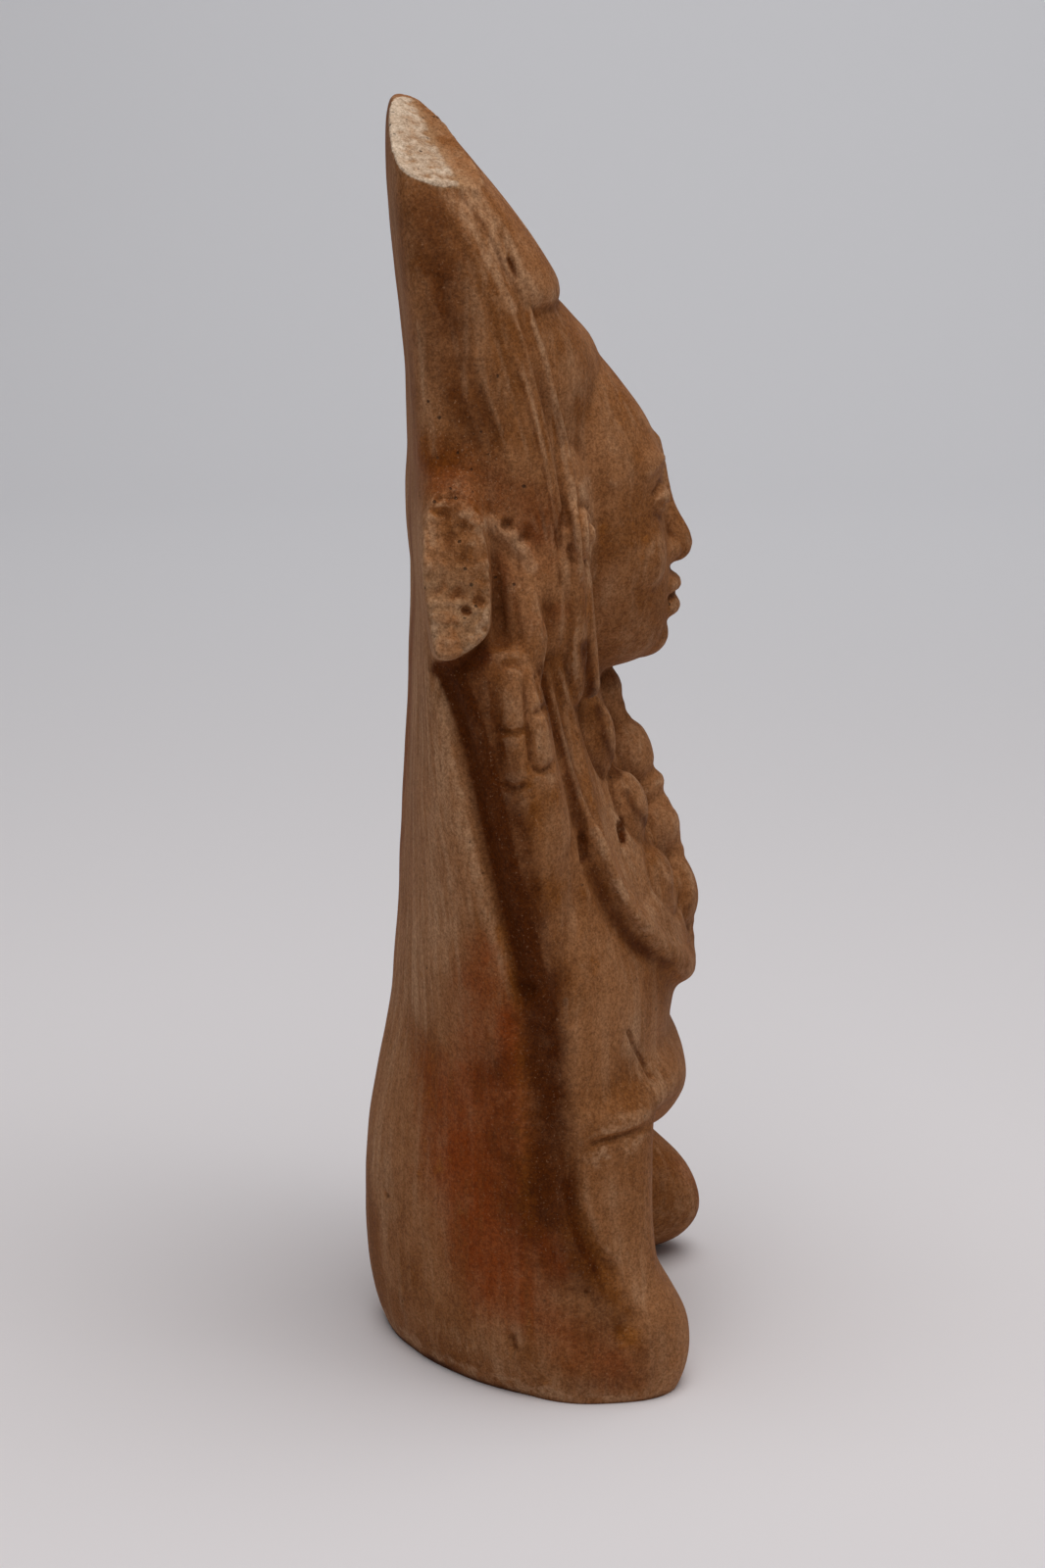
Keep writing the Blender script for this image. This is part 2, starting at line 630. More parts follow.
# The grain in mm and the passes of softening, of the body first and then of all, and the faces kept.
skin = {"bodyGrain": 0.7, "bodyPasses": 9, "grain": 0.5, "passes": 6, "faces": 190000}


def fused(form, grain, passes):
    # one skin over all the lumps, softened
    lumps = objectOf(form, "lumps")
    remesh = lumps.modifiers.new("fuse", "REMESH")
    remesh.mode = "VOXEL"
    remesh.voxel_size = grain
    soften = lumps.modifiers.new("soften", "SMOOTH")
    soften.factor = 0.5
    soften.iterations = passes
    mesh = meshOf(lumps)
    bpy.data.objects.remove(lumps)
    return mesh


# Strokes keep to their own part of the figure: out from its middle, or behind or before a y.
brushEdge = {"side": 12.0, "back": 4.0, "front": 8.0}


class Relief:
    # low relief pressed into a skin: each stroke moves the points near a route along their normals

    def __init__(self, mesh):
        self.mesh = mesh
        self.read()

    def read(self):
        count = len(self.mesh.vertices)
        flat = np.empty(count * 3)
        self.mesh.vertices.foreach_get("co", flat)
        self.points = flat.reshape(count, 3).copy()
        self.mesh.update()
        self.mesh.vertex_normals.foreach_get("vector", flat)
        self.normals = flat.reshape(count, 3).copy()

    def write(self):
        self.mesh.vertices.foreach_set("co", self.points.ravel())
        self.mesh.update()
        self.read()

    def away(self, axes, route, chosen):
        # how far the chosen points are from a route, seen along the axis that is left out, and
        # how far they are from the nearer end of it
        flat = self.points[chosen][:, axes]
        near = np.full(len(flat), np.inf)
        gone = np.zeros(len(flat))
        stops = smoothRoute(route)
        run = 0.0
        for start, end in zip(stops, stops[1:]):
            step = end - start
            length = math.hypot(*step)
            share = np.clip(((flat - start) @ step) / max(length**2, 1e-9), 0.0, 1.0)
            gap = flat - start - share[:, None] * step
            gap = np.hypot(gap[:, 0], gap[:, 1])
            closer = gap < near
            near[closer] = gap[closer]
            gone[closer] = run + share[closer] * length
            run += length
        return near, np.minimum(gone, run - gone)

    def brush(self, view, route, width, side, fade=0.0, least=0.1):
        # the points that a stroke touches and how much, from 0 to 1, fading out at its ends and
        # where the skin turns away from the view
        if view == "side":
            axes, facing, path = (1, 2), self.normals[:, 0] * side, route
            there = self.points[:, 0] * side > brushEdge[view]
        elif view == "back":
            axes, facing = (0, 2), self.normals[:, 1]
            path = [(side * x, z) for x, z in route]
            there = self.points[:, 1] > brushEdge[view]
        else:
            axes, facing = (0, 2), -self.normals[:, 1]
            path = [(side * x, z) for x, z in route]
            there = self.points[:, 1] < brushEdge[view]
        stops = np.array(path, float)
        seen = self.points[:, axes]
        inside = np.all((seen > stops.min(0) - width - 2) & (seen < stops.max(0) + width + 2), axis=1)
        chosen = np.nonzero(there & inside & (facing > least))[0]
        near, fromEnd = self.away(axes, path, chosen)
        share = 1 - smoothStep(near / width)
        share *= smoothStep((facing[chosen] - least) / 0.3)
        if fade:
            share *= smoothStep(0.12 + fromEnd / fade)
        return chosen, share

    def stroke(self, view, route, width, height, fade=0.0, sides=bothSides):
        # view is side (a route of y, z), front or back (x, z). Height under 0 is a groove
        for side in sides:
            chosen, share = self.brush(view, route, width, side, fade)
            self.points[chosen] += self.normals[chosen] * (share * height)[:, None]


# How wide and how deep each layer of unevenness is, all over and on the broken faces.
unevenness = {"all": ((22.0, 0.35), (7.0, 0.12)), "breaks": ((9.0, 0.7), (2.6, 0.3), (1.1, 0.28))}


def handMade(relief):
    # nothing pressed in a mould by hand is quite even, and the broken faces are rough
    for size, depth in unevenness["all"]:
        sway = [noise.noise(Vector(point) / size) for point in relief.points]
        relief.points += relief.normals * (np.array(sway) * depth)[:, None]
    for name in breaks:
        point, normal = breakPlane(name)
        chosen = np.nonzero(brokenShare(relief.points, name) > 0.2)[0]
        share = brokenShare(relief.points[chosen], name) * breaks[name]["rough"]
        for size, depth in unevenness["breaks"]:
            aside = Vector((size, 0, 0))
            sway = [noise.noise(Vector(spot) / size + aside) for spot in relief.points[chosen]]
            relief.points[chosen] += np.array(normal) * (share * np.array(sway) * depth)[:, None]
    relief.write()


# Low relief seen from either side. A row is a route of y and z, the stroke's width, its height
# and how far its ends fade.
sideRelief = {
    "base": [  # the valley between the shell and the leg, the leg's edge, and the hem above it
        ([(1.6, 66.0), (-0.4, 52.0), (-1.8, 44.0), (-3.6, 38.0)], 5.5, -1.6, 6.0),
        ([(-5.6, 42.6), (-5.2, 36.8), (-6.0, 32.0), (-7.9, 27.2), (-10.8, 23.4),
          (-14.4, 20.3)], 2.2, -0.9, 6.0),
        ([(-1.6, 37.0), (-2.8, 29.0), (-6.0, 22.4), (-11.0, 16.6), (-16.0, 11.0)], 3.6, 0.7, 6.0),
        ([(-12.0, 36.0), (-13.0, 29.0), (-16.0, 22.6)], 4.6, -0.5, 6.0),
        ([(-5.9, 41.6), (-8.4, 43.4), (-12.6, 44.2), (-16.4, 44.6), (-19.6, 44.8)], 1.2, -0.9, 6.0),
    ],
    "hair": [  # long strands from the headdress to the shoulder
        ([(1.6, 176.0), (0.6, 172.0), (-1.2, 167.0), (-3.0, 160.0), (-4.8, 153.0), (-5.9, 146.0),
          (-6.7, 139.0), (-7.2, 131.0)], 0.9, 0.75, 3.0),
        ([(2.9, 175.0), (0.7, 168.0), (-1.5, 160.0), (-3.4, 152.0), (-4.6, 145.0), (-5.6, 138.0),
          (-6.2, 130.0)], 0.8, -0.6, 6.0),
        ([(4.4, 174.0), (1.8, 166.0), (-0.4, 157.0), (-2.0, 149.0), (-3.4, 141.0),
          (-4.6, 131.0)], 0.9, -0.45, 14.0),
        ([(7.6, 174.0), (4.6, 164.0), (2.0, 154.6), (0.2, 147.0), (-1.4, 139.5),
          (-3.0, 130.7)], 1.0, -0.5, 14.0),
        ([(11.4, 170.0), (8.0, 160.0), (5.0, 151.6), (2.8, 145.0)], 1.1, -0.4, 12.0),
        ([(14.0, 166.0), (10.8, 156.0), (8.0, 149.0), (6.4, 145.0)], 1.2, -0.3, 10.0),
        ([(3.6, 170.0), (0.8, 161.0), (-1.0, 153.0), (-2.6, 145.0), (-3.9, 137.0)], 0.9, 0.35, 10.0),
        ([(6.0, 169.0), (3.2, 159.0), (1.0, 150.6), (-0.8, 143.0), (-2.2, 136.0)], 1.0, 0.35, 10.0),
        ([(9.6, 167.0), (6.4, 157.6), (3.8, 149.0), (2.0, 142.0)], 1.2, 0.35, 10.0),
    ],
    "collar": [  # the ends of the hair round the shoulder
        ([(11.2, 142.4), (7.4, 141.6), (3.8, 138.9), (1.2, 135.6), (0.2, 131.6)], 2.0, 0.7, 4.0),
        ([(2.4, 141.4), (0.2, 138.4), (-1.4, 134.6)], 1.8, -0.7, 4.0),
        ([(7.0, 138.0), (6.0, 132.0), (5.8, 126.0), (6.0, 122.6)], 1.6, -0.5, 4.0),
        ([(-0.9, 131.4), (-2.4, 127.0), (-2.6, 122.6), (-2.3, 121.2)], 2.2, -1.0, 5.0),
        ([(3.9, 131.4), (3.3, 126.0), (2.2, 121.4)], 1.2, -0.4, 4.0),
        ([(-4.9, 131.6), (-5.4, 126.0), (-5.0, 118.0), (-5.6, 113.0)], 1.2, -0.5, 4.0),
        ([(-8.0, 122.6), (-8.8, 118.6), (-9.4, 114.6)], 2.0, -0.6, 3.0),
    ],
    "groove": [  # between the arm and the bib
        ([(0.8, 121.6), (-0.4, 118.8), (-1.2, 115.1), (-3.2, 108.9), (-4.8, 102.7), (-6.2, 96.5),
          (-7.4, 90.5)], 1.8, -0.9, 5.0),
        ([(-6.6, 89.0), (-5.6, 80.0), (-4.6, 72.0), (-4.2, 64.0)], 2.6, -1.0, 8.0),
    ],
    "hand": [  # the fingers
        ([(6.9, 119.4), (6.6, 111.3), (6.2, 102.0)], 1.2, -0.6, 4.0),
        ([(2.3, 118.8), (1.8, 111.3), (1.2, 103.0)], 1.0, -1.0, 4.0),
        ([(6.2, 120.2), (3.8, 120.6), (1.4, 119.4)], 1.1, -0.6, 2.0),
        ([(6.6, 110.9), (4.4, 110.1), (2.2, 110.6)], 1.0, -0.7, 1.0),
        ([(1.4, 104.6), (-0.6, 104.0), (-2.6, 104.8)], 1.0, -0.8, 1.0),
        ([(1.2, 112.9), (-1.8, 113.3)], 1.0, -0.7, 1.0),
        ([(6.2, 102.4), (4.0, 101.6), (1.8, 102.2)], 1.1, -0.6, 1.0),
        ([(4.6, 118.4), (4.3, 112.2)], 2.5, 0.5, 0.0),
        ([(4.2, 109.0), (3.8, 103.6)], 2.5, 0.5, 0.0),
        ([(0.3, 118.0), (-0.1, 114.4)], 2.0, 0.4, 0.0),
        ([(-0.4, 111.6), (-0.8, 106.0)], 2.1, 0.5, 0.0),
    ],
    "headdressEdge": [  # folds down the side of the headdress
        ([(10.6, 193.0), (6.3, 187.0), (3.3, 180.3), (0.8, 175.2)], 0.9, -0.4, 6.0),
        ([(13.0, 192.0), (8.6, 185.8), (5.6, 179.6), (3.2, 174.4)], 1.1, 0.35, 8.0),
        ([(4.0, 182.0), (2.6, 178.4)], 0.8, -0.4, 2.0),
        ([(15.2, 190.0), (11.0, 183.0), (8.0, 176.0), (5.4, 168.0)], 1.0, -0.35, 8.0),
        ([(19.0, 184.0), (14.8, 177.3), (12.8, 168.5), (11.4, 160.0)], 1.6, -0.3, 8.0),
    ],
    "seam": [  # behind the arm
        ([(16.2, 121.0), (13.2, 112.0), (10.8, 102.0), (8.2, 90.0), (5.2, 78.0), (3.0, 70.0),
          (1.0, 65.0)], 2.4, -1.1, 6.0),
        ([(2.2, 71.0), (0.8, 67.6)], 2.2, -0.9, 2.0),
    ],
    "bibHollow": [  # the dished face of the bib and its raised rim
        ([(-8.6, 112.0), (-10.8, 104.0), (-12.5, 96.2), (-14.5, 88.9), (-17.2, 82.4),
          (-21.6, 76.2)], 3.4, -1.1, 5.0),
        ([(-2.7, 120.4), (-5.0, 112.6), (-6.9, 104.8), (-9.1, 95.4), (-11.3, 87.4), (-14.6, 80.0),
          (-19.0, 73.6)], 1.3, 0.9, 5.0),
        ([(-6.6, 96.0), (-8.2, 88.0), (-11.0, 80.4), (-15.4, 73.4), (-21.0, 68.0)], 1.8, -0.7, 6.0),
    ],
}


def pressSide(relief):
    for rows in sideRelief.values():
        for route, width, height, fade in rows:
            relief.stroke("side", route, width, height, fade)
        relief.write()


def ringRoute(x, z, across, up, lean=0.0):
    # an oval seen from the front
    lean = math.radians(lean)
    route = []
    for turn in range(0, 361, 30):
        right, rise = across * math.cos(math.radians(turn)), up * math.sin(math.radians(turn))
        route.append((x + right * math.cos(lean) + rise * math.sin(lean),
                      z + rise * math.cos(lean) - right * math.sin(lean)))
    return route


def pressFront(relief):
    # seen from the front: the headdress pleats, the ear spools, the lids and the lips
    for i in range(1, headdress["pleats"]):
        share = i / headdress["pleats"] * 2 - 1
        route = []
        for z in (175.0, 181.0, 188.0, 195.0, 202.0):
            route.append((share * rowAt(headdress["rows"], z)[1] * 0.94, z))
        relief.stroke("front", route, 1.8, -headdress["pleatHeight"], fade=7.0, sides=(1,))
    for radius, depth in ((spool["radius"] - 0.9, 0.6), (2.3, 0.4)):
        relief.stroke("front", ringRoute(spool["out"], spool["height"], radius, radius), 1.3, -depth)
    relief.write()
    eye, half, level = face["eyeApart"], face["eyeHalfWidth"], eyeLevel
    for route, width, height in (
        ([(eye - half + 0.4, level - 0.5), (eye, level - 1.3), (eye + half - 0.2, level - 0.3)], 0.8, -0.6),
        ([(eye - half, level + 0.8), (eye, level + 2.9), (eye + half + 0.4, level + 0.9)], 1.0, -0.5),
        ([(eye - half, level - 1.4), (eye, level - 3.2), (eye + half, level - 1.4)], 1.1, -0.35),
        ([(eye - half - 1.0, brow - 0.4), (eye, brow + 1.2), (eye + half + 2.6, brow - 1.0)], 1.3, 0.45),
        ([(2.0, noseFoot + 0.2), (3.4, noseFoot + 0.3)], 0.9, -0.8),
        ([(0.0, mouth - 0.1), (3.0, mouth + 0.1), (6.4, mouth - 0.4)], 0.8, -0.6),
        ([(1.5, noseFoot - 1.2), (1.9, mouth + 3.4)], 0.9, 0.25),
    ):
        relief.stroke("front", route, width, height, fade=1.6)
    relief.write()


def pressBeads(relief):
    # a soft groove round each bead
    outer, inner = beads["grooves"]
    outlines = [(0.0, z, half, length, 0.0, inner) for z, _, half, length in beads["middle"]]
    for x, z, half, length, lean, _ in beads["pairs"]:
        outlines += [(side * x, z, half, length, side * lean, outer) for side in bothSides]
    most = np.zeros(len(relief.points))
    for x, z, half, length, lean, depth in outlines:
        chosen, share = relief.brush("front", ringRoute(x, z, half + 0.5, length + 0.3, lean), 1.7, 1)
        most[chosen] = np.maximum(most[chosen], share * depth)
    relief.points -= relief.normals * most[:, None]
    relief.write()


def pressMarks(relief):
    # holes, a cut line and knocks on the side that shows
    for route, width, height in (
        ([(-14.6, 90.2), (-15.0, 87.8)], 0.9, -2.2),
        ([(-7.2, 91.4), (-7.5, 88.0)], 0.9, -0.8),
        ([(-14.8, 59.8), (-15.8, 57.0), (-16.8, 54.8), (-18.8, 50.8)], 0.6, -0.55),
        ([(14.0, 140.0), (13.0, 134.6)], 5.4, -0.9),
        ([(17.4, 133.0), (12.6, 131.4), (8.6, 130.4)], 2.4, -0.35),
        ([(4.7, 141.1), (4.6, 140.9)], 1.5, -1.0),
        ([(2.1, 139.0), (2.2, 138.8)], 1.3, -0.8),
        ([(11.3, 129.1), (11.0, 128.8)], 1.3, -1.0),
        ([(8.8, 124.3), (8.6, 124.2)], 1.0, -0.9),
        ([(-7.4, 19.3), (-7.4, 19.1)], 0.8, -0.8),
        ([(23.6, 26.6), (23.6, 26.4)], 0.7, -0.6),
        ([(4.4, 10.6), (4.0, 8.6)], 1.2, -0.8),
        ([(-2.0, 66.8), (-2.0, 63.1)], 0.8, -0.4),
        ([(-4.1, 67.1), (-4.2, 63.6)], 0.8, -0.4),
    ):
        relief.stroke("side", route, width, height, sides=(-1,))
    relief.write()


def brokenOff(mesh):
    # cut along the old breaks, and fused again so that the broken faces are as fine as the rest
    form = bmesh.new()
    form.from_mesh(mesh)
    for name, spot in breaks.items():
        first, last = spot["region"]
        cutAway(form, *breakPlane(name), near=lambda co: all(a < c < b for a, c, b in zip(first, co, last)))
    wide = [polygon for polygon in form.faces if len(polygon.verts) > 4]
    bmesh.ops.triangulate(form, faces=wide)
    return fused(form, skin["grain"], 1)


def flattenFoot(mesh):
    # cut level at the ground
    form = bmesh.new()
    form.from_mesh(mesh)
    cutAway(form, Vector((0.0, 0.0, 0.0)), Vector((0.0, 0.0, -1.0)))
    bmesh.ops.triangulate(form, faces=form.faces[:])
    form.to_mesh(mesh)
    form.free()


def thinned(mesh):
    obj = bpy.data.objects.new("thick", mesh)
    bpy.context.scene.collection.objects.link(obj)
    thin = obj.modifiers.new("thin", "DECIMATE")
    thin.ratio = min(1.0, skin["faces"] / len(mesh.polygons))
    finished = meshOf(obj)
    bpy.data.objects.remove(obj)
    return finished


def makeRattle():
    clay = bmesh.new()
    makeBody(clay)
    makeBib(clay)
    makeHead(clay)
    print("lumps laid:", len(clay.verts))
    base = fused(clay, skin["bodyGrain"], skin["bodyPasses"])
    print("body fused:", len(base.vertices))
    clay = bmesh.new()
    makeHeaddress(clay)
    makeBeads(clay)
    makeSpools(clay)
    makeFace(clay)
    clay.from_mesh(base)
    mesh = brokenOff(fused(clay, skin["grain"], skin["passes"]))
    print("ornaments fused:", len(mesh.vertices))
    relief = Relief(mesh)
    handMade(relief)
    pressSide(relief)
    pressFront(relief)
    pressBeads(relief)
    pressMarks(relief)
    print("relief pressed")
    flattenFoot(mesh)
    mesh = thinned(mesh)
    print("faces kept:", len(mesh.polygons))
    return mesh


# What the surface wears, painted with the same brush as the relief. A row is a route, its width
# and how much. Near is the side that shows, far the other, and both is the two alike.
stains = {
    "dirt": {  # dark earth in the seams and grooves and along the foot
        "both": [
            ([(13.6, 119.0), (10.8, 112.0), (8.2, 102.0), (5.6, 90.0), (2.6, 78.0), (0.6, 70.0),
              (-1.0, 65.0)], 3.2, 2.5),
            ([(10.7, 119.0), (7.9, 112.0), (5.3, 102.0), (2.7, 90.0), (1.2, 78.0),
              (0.8, 70.0)], 7.6, 0.75),
            ([(7.0, 119.0), (4.6, 111.0), (2.0, 102.0), (-0.4, 92.0), (-1.6, 82.0)], 9.5, 0.42),
            ([(0.2, 70.0), (-0.8, 60.0), (-1.4, 50.0)], 7.6, 1.0),
            ([(-1.2, 54.0), (-1.4, 44.0), (-2.2, 32.0)], 8.0, 0.95),
            ([(-2.4, 36.0), (-4.6, 28.0), (-8.4, 21.0), (-12.0, 15.0)], 7.6, 0.7),
            ([(1.4, 70.0), (0.4, 66.6)], 4.0, 1.4),
            ([(-3.4, 42.0), (-4.4, 36.0), (-5.6, 29.0), (-9.0, 22.6)], 2.2, 0.9),
            ([(-0.6, 119.0), (-1.4, 114.0), (-3.2, 108.4), (-4.8, 102.7), (-6.0, 98.0)], 2.2, 0.75),
            ([(-8.2, 121.0), (-9.6, 112.6)], 2.2, 0.8),
            ([(9.0, 121.6), (15.0, 119.4)], 3.0, 1.2),
            ([(-2.0, 128.0), (-2.8, 123.0)], 2.6, 0.4),
            ([(12.4, 192.6), (7.9, 186.8), (4.6, 180.1), (1.2, 174.6)], 0.9, 0.5),
            ([(-11.1, 109.0), (-12.0, 104.8), (-13.3, 101.0), (-14.9, 97.1)], 1.5, 0.7),
            ([(-15.9, 94.6), (-17.5, 91.7), (-19.8, 88.6)], 1.5, 0.7),
            ([(-6.2, 97.0), (-8.2, 88.4), (-11.4, 80.0), (-16.0, 73.0), (-22.0, 67.4)], 2.4, 0.6),
            ([(3.2, 166.0), (0.6, 157.0), (-1.4, 148.0), (-3.0, 139.0), (-3.9, 131.0)], 0.8, 0.55),
            ([(6.8, 153.0), (4.8, 146.0), (3.2, 138.0), (2.0, 131.0)], 0.8, 0.55),
            ([(17.0, 0.4), (0.0, -0.4), (-20.0, -0.4)], 1.6, 0.9),
        ],
        "near": [
            ([(6.0, 56.0), (5.0, 44.0), (3.0, 34.0), (-1.0, 24.0), (-10.0, 12.0)], 10.0, 0.52),
            ([(17.0, 188.0), (14.0, 178.0), (13.6, 167.0), (9.0, 156.0)], 9.0, 0.6),
            ([(4.0, 181.6), (2.8, 178.8)], 0.8, 0.75),
            ([(-14.6, 90.2), (-15.0, 87.8)], 1.1, 1.4),
            ([(-7.2, 91.4), (-7.5, 88.0)], 1.2, 0.8),
            ([(-14.8, 59.8), (-15.8, 57.0), (-16.8, 54.8), (-18.8, 50.8)], 0.5, 0.6),
            ([(-21.0, 12.0), (-15.0, 6.0), (-9.0, 4.0)], 9.0, 0.42),
            ([(14.0, 150.0), (8.0, 149.0), (3.0, 147.0), (-1.0, 142.0)], 8.0, 0.48),
        ],
        "far": [
            ([(14.0, 168.0), (8.0, 158.0)], 6.0, 0.3),
        ],
        "back": [
            ([(-30.0, 0.0), (30.0, 0.0)], 1.6, 0.9),
        ],
    },
    "dust": {  # pale and rubbed
        "both": [
            ([(20.0, 140.0), (18.0, 120.0), (16.0, 105.0), (14.6, 90.0), (16.0, 76.0),
              (20.0, 62.0)], 8.5, 0.75),
            ([(11.2, 92.0), (8.4, 82.0), (6.0, 74.0)], 2.6, 0.7),
            ([(22.0, 90.0), (23.0, 60.0), (25.0, 34.0), (24.0, 12.0)], 5.0, 0.5),
            ([(0.2, 172.0), (-2.4, 163.0), (-4.2, 154.0), (-5.6, 146.0), (-6.6, 137.0)], 0.9, 0.8),
            ([(2.2, 166.0), (-0.4, 156.0), (-2.4, 146.0), (-3.8, 137.0)], 0.8, 0.6),
            ([(14.0, 192.0), (9.6, 186.0), (6.4, 180.0), (3.6, 174.0)], 1.4, 0.7),
            ([(6.0, 169.0), (3.2, 159.0), (1.0, 150.6), (-0.8, 143.0), (-2.2, 136.0)], 0.8, 0.5),
            ([(-3.0, 112.0), (-6.4, 101.0), (-9.8, 90.0), (-15.0, 78.0), (-22.0, 68.0)], 1.6, 0.3),
            ([(-12.0, 92.0), (-16.0, 84.0), (-20.0, 76.0), (-25.0, 70.0)], 4.5, 0.5),
            ([(-14.0, 62.0), (-18.0, 54.0), (-20.0, 48.0)], 6.0, 0.45),
            ([(-11.0, 37.0), (-13.0, 27.0), (-17.0, 17.0)], 4.5, 0.45),
            ([(10.0, 180.0), (9.0, 168.0), (6.0, 160.0)], 5.0, 0.4),
            ([(-6.0, 164.0), (-12.0, 158.0), (-14.0, 146.0)], 5.0, 0.35),
            ([(-8.4, 146.0), (-9.0, 138.0), (-9.4, 131.0)], 2.4, 0.8),
            ([(14.0, 8.0), (0.0, 3.0), (-12.0, 2.0)], 6.0, 0.35),
        ],
        "near": [
            ([(14.0, 196.0), (8.4, 189.0), (3.6, 181.0), (0.4, 175.6)], 3.2, 0.9),
            ([(13.4, 178.0), (12.6, 170.0), (10.6, 161.0)], 1.2, 0.6),
            ([(18.0, 172.0), (17.0, 162.0), (15.6, 152.0)], 1.4, 0.6),
            ([(7.4, 141.6), (3.8, 138.9), (0.8, 134.6)], 2.2, 0.9),
            ([(-2.0, 66.8), (-2.0, 63.1)], 0.8, 1.0),
            ([(-4.1, 67.1), (-4.2, 63.6)], 0.8, 1.0),
        ],
        "back": [
            ([(-20.0, 190.0), (-10.0, 150.0), (-14.0, 110.0), (-8.0, 70.0), (-12.0, 30.0)], 16.0, 0.5),
            ([(24.0, 180.0), (18.0, 140.0), (24.0, 90.0), (16.0, 50.0), (22.0, 20.0)], 12.0, 0.5),
        ],
    },
    "flush": {  # reddened in the fire
        "near": [
            ([(8.4, 74.0), (9.6, 64.0), (10.0, 56.0)], 9.0, 0.8),
            ([(9.6, 50.0), (9.6, 42.0), (8.6, 33.0), (5.0, 20.0)], 15.0, 1.15),
            ([(4.6, 64.0), (3.6, 50.0), (2.0, 36.0), (-2.0, 24.0)], 7.0, 1.1),
            ([(6.0, 24.0), (-2.0, 15.0), (-12.0, 6.0)], 10.0, 0.7),
            ([(15.0, 150.0), (9.0, 148.0), (2.0, 144.0), (-1.0, 138.0)], 9.0, 0.7),
            ([(6.0, 136.0), (1.0, 126.0), (-4.0, 127.0)], 4.0, 0.4),
        ],
        "far": [
            ([(4.0, 70.0), (10.0, 44.0), (4.0, 20.0)], 12.0, 0.6),
            ([(14.0, 150.0), (10.0, 110.0)], 9.0, 0.4),
        ],
        "front": [
            ([(28.0, 16.0), (34.0, 8.0)], 9.0, 0.6),
            ([(-10.0, 54.0), (12.0, 48.0)], 10.0, 0.3),
        ],
        "back": [
            ([(4.0, 160.0), (0.0, 120.0), (8.0, 60.0)], 14.0, 0.5),
        ],
    },
    "ochre": {  # yellow earth
        "both": [
            ([(4.0, 112.0), (1.0, 98.0), (-1.0, 84.0)], 6.0, 0.4),
            ([(5.6, 78.0), (3.0, 66.0), (2.0, 52.0)], 3.0, 0.4),
        ],
        "near": [
            ([(-4.6, 31.0), (-8.0, 24.0), (-11.0, 19.0), (-14.0, 12.0)], 4.6, 0.6),
            ([(2.0, 54.0), (1.0, 42.0), (-1.0, 32.0)], 6.0, 0.45),
            ([(16.0, 152.0), (9.0, 149.0), (4.0, 143.0)], 6.0, 0.3),
        ],
        "front": [
            ([(-20.0, 30.0), (-8.0, 44.0)], 6.0, 0.3),
        ],
    },
    "worn": {  # pitted ground
        "near": [
            ([(17.0, 158.0), (11.0, 153.0), (6.0, 147.0), (12.0, 144.0)], 7.0, 0.9),
            ([(11.0, 136.0), (6.0, 133.0)], 6.0, 0.5),
        ],
    },
}
stainViews = {
    "both": ("side", bothSides), "near": ("side", (-1,)), "far": ("side", (1,)),
    "front": ("front", (1,)), "back": ("back", (1,)),
}
stainReach = -0.3  # a stain runs on round a form, a little past where it faces away
# for each hollow: rounds of evening out, and the depth in mm that counts as full
hollows = {"hollow": (4, 0.2), "deepHollow": (40, 1.6)}


def spread(values, edges, rounds):
    # evens values out between neighbours
    count = len(values)
    both = np.bincount(edges.ravel(), minlength=count)
    for _ in range(rounds):
        columns = []
        for column in values.reshape(count, -1).T:
            total = np.bincount(edges[:, 0], column[edges[:, 1]], count)
            total += np.bincount(edges[:, 1], column[edges[:, 0]], count)
            columns.append(total / both)
        values = np.stack(columns, axis=1).reshape(values.shape)
    return values


def paint(mesh):
    # one value at each point for each stain, for the broken faces, and for how hollow it is
    relief = Relief(mesh)
    layers = {}
    for name, groups in stains.items():
        layer = np.zeros(len(relief.points))
        for group, rows in groups.items():
            view, sides = stainViews[group]
            for route, width, amount in rows:
                for side in sides:
                    chosen, share = relief.brush(view, route, width, side, least=stainReach)
                    layer[chosen] = np.maximum(layer[chosen], np.minimum(share * amount, 1.0))
        layers[name] = layer
    bare = []
    for name, spot in breaks.items():
        first, last = np.array(spot["soil"]["from"]), np.array(spot["soil"]["to"])
        run = (relief.points[:, 1:] - first) @ (last - first) / ((last - first) ** 2).sum()
        clean = spot["fresh"] - spot["soil"]["most"] * smoothStep(run)
        bare.append(brokenShare(relief.points, name) * clean)
    layers["broken"] = np.maximum(*bare)
    edges = np.empty(len(mesh.edges) * 2, int)
    mesh.edges.foreach_get("vertices", edges)
    edges = edges.reshape(-1, 2)
    for name, (rounds, full) in hollows.items():
        off = ((spread(relief.points, edges, rounds) - relief.points) * relief.normals).sum(axis=1)
        layers[name] = np.clip(0.5 + 0.5 * spread(off, edges, 1) / full, 0.0, 1.0)
    for name, layer in layers.items():
        mesh.attributes.new(name, "FLOAT", "POINT").data.foreach_set("value", layer)


